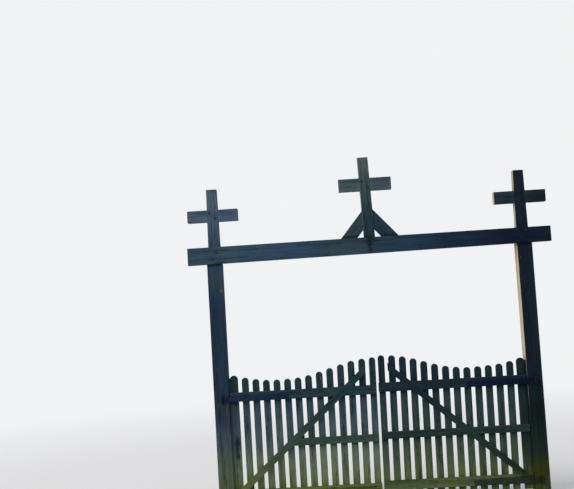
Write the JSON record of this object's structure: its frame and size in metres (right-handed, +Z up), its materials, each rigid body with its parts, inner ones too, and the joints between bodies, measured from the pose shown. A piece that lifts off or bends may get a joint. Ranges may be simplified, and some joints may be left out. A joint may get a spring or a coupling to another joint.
{
  "type": "timber lychgate",
  "caption": "Open timber cemetery gateway: shouldered posts and a lintel topped with crosses, closed by swept picket leaves on strap hinges.",
  "frame": {"origin": "middle of the left post's foot, on the ground plane", "axes": "+X along the gateway from the left post to the right one, +Y through it away from the side that the leaves open to, +Z up"},
  "size_m": [3.93, 0.197, 3.7271],
  "materials": {
    "post_wood": "weathered slate-grey timber",
    "rail_wood": "weathered timber with green algae",
    "picket_wood": "weathered grey timber",
    "strap_iron": "dark painted iron, rusting",
    "pintle_iron": "rusty iron"
  },
  "bodies": {
    "gateway": {"left_post": "post_wood", "right_post": "post_wood", "lintel": "post_wood", "left_cross_arm": "post_wood", "right_cross_arm": "post_wood", "centre_cross_shaft": "post_wood", "centre_cross_arm": "post_wood", "centre_brace_left": "post_wood", "centre_brace_right": "post_wood", "left_upper_pintle": "pintle_iron", "left_lower_pintle": "pintle_iron", "right_upper_pintle": "pintle_iron", "right_lower_pintle": "pintle_iron"},
    "left_leaf": {"left_hinge_board": "picket_wood", "left_pickets": "picket_wood", "left_meeting_board": "picket_wood", "left_top_rail": "rail_wood", "left_mid_rail": "rail_wood", "left_bottom_rail": "rail_wood", "left_leaf_brace": "rail_wood", "left_upper_strap": "strap_iron", "left_lower_strap": "strap_iron"},
    "right_leaf": {"right_hinge_board": "picket_wood", "right_pickets": "picket_wood", "right_meeting_board": "picket_wood", "right_top_rail": "rail_wood", "right_mid_rail": "rail_wood", "right_bottom_rail": "rail_wood", "right_leaf_brace": "rail_wood", "right_upper_strap": "strap_iron", "right_lower_strap": "strap_iron"}
  },
  "joints": [
    {"name": "left_leaf_hinge", "type": "hinge", "parent": "gateway", "child": "left_leaf", "pos_m": [0, -0.1025, 0], "axis": [0, 0, -1], "range_deg": [0, 100]},
    {"name": "right_leaf_hinge", "type": "hinge", "parent": "gateway", "child": "right_leaf", "pos_m": [3.36, -0.1025, 0], "axis": [0, 0, 1], "range_deg": [0, 100]}
  ]
}
